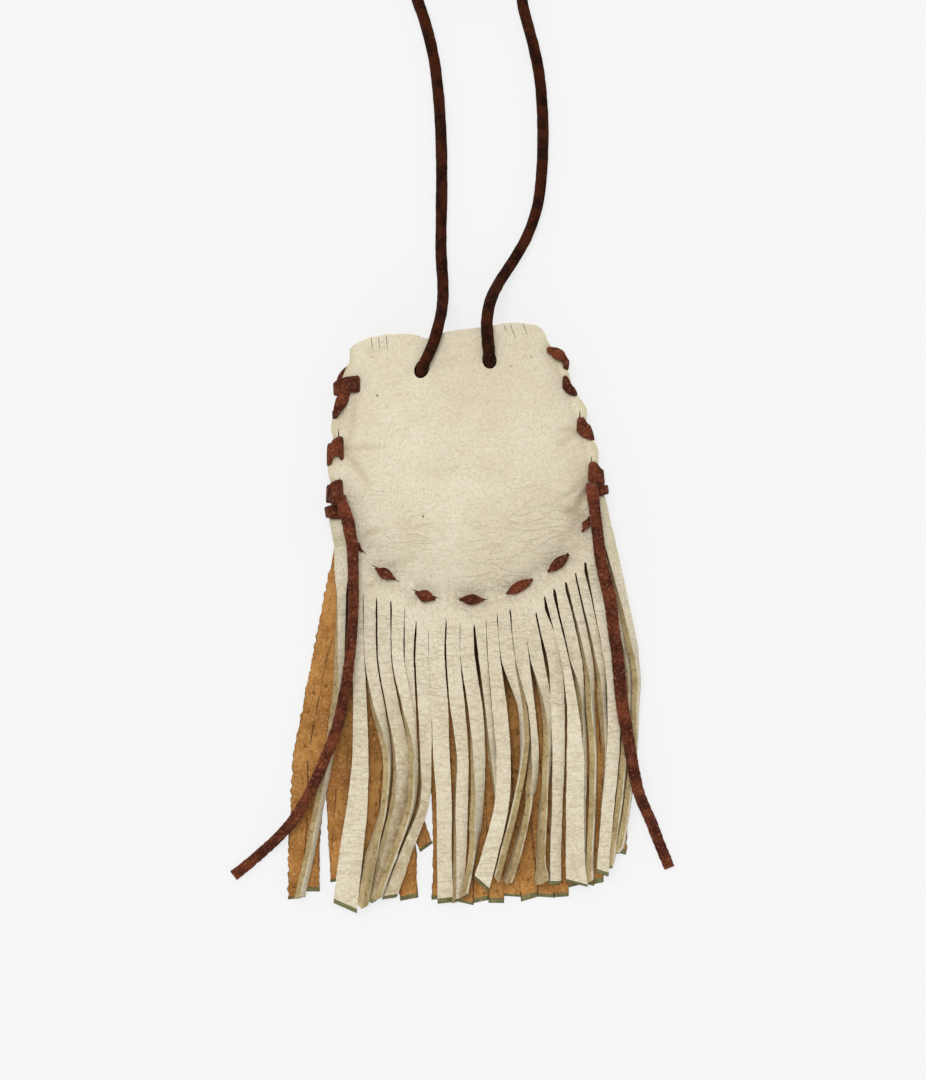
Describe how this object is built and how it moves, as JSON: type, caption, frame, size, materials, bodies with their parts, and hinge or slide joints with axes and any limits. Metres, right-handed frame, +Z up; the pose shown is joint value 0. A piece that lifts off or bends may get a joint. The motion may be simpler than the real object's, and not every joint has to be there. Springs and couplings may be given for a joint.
{
  "type": "amulet pouch",
  "caption": "Small flat leather neck pouch with a rounded bottom, a long cut fringe, dark laced seams with free lace ends, and a neck cord through two holes.",
  "frame": {"origin": "on the flat back of the pouch, which lies on the ground", "axes": "+Y towards the mouth, +Z up out of the front, +X to the right as seen from the front"},
  "size_m": [0.1253, 0.3018, 0.0164],
  "materials": {
    "cream_leather": "soft cream grained leather, suede on its other side",
    "dark_lace": "dark reddish brown suede lace",
    "dark_cord": "dark brown square-cut leather cord"
  },
  "bodies": {
    "root": {"front_panel": "cream_leather", "back_panel": "cream_leather", "left_side_lace": "dark_lace", "right_side_lace": "dark_lace", "bottom_lace": "dark_lace", "neck_cord_behind": "dark_cord", "neck_cord_left": "dark_cord", "neck_cord_right": "dark_cord", "neck_cord_coil": "dark_cord"}
  },
  "joints": []
}
